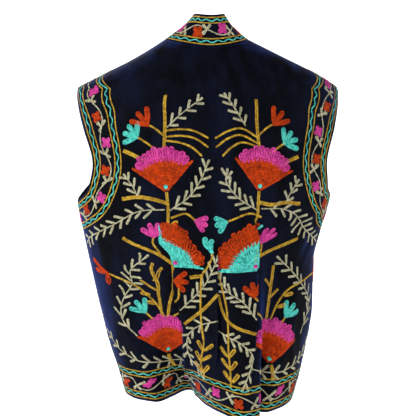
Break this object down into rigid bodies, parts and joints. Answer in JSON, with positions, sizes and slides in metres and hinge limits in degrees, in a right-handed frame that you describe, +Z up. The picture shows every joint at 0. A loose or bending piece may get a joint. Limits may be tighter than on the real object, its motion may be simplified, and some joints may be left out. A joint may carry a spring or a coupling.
{
  "type": "embroidered velvet vest, worn form",
  "caption": "Open-fronted sleeveless vest of navy velvet with a neck and front band, covered in chain-stitched carnation fans, tulips, sprigs and vine borders; holds its worn shape.",
  "frame": {"origin": "middle of the neck, level with the neck ends of the two shoulder seams", "axes": "+Z up; +X the wearer's left; +Y the wearer's back, so the fronts face -Y"},
  "size_m": [0.475, 0.2663, 0.7106],
  "materials": {
    "velvet": "navy cotton velvet, short pile, blue sheen",
    "band_velvet": "the same velvet cut for the band",
    "thread_gold": "soft cotton chain stitch",
    "thread_cream": "soft cotton chain stitch",
    "thread_orange": "soft cotton chain stitch",
    "thread_pink": "soft cotton chain stitch",
    "thread_turquoise": "soft cotton chain stitch"
  },
  "bodies": {
    "root": {"back": "velvet", "front_left": "velvet", "front_right": "velvet", "neck_band": "band_velvet", "front_band_left": "band_velvet", "front_band_right": "band_velvet"}
  },
  "joints": []
}
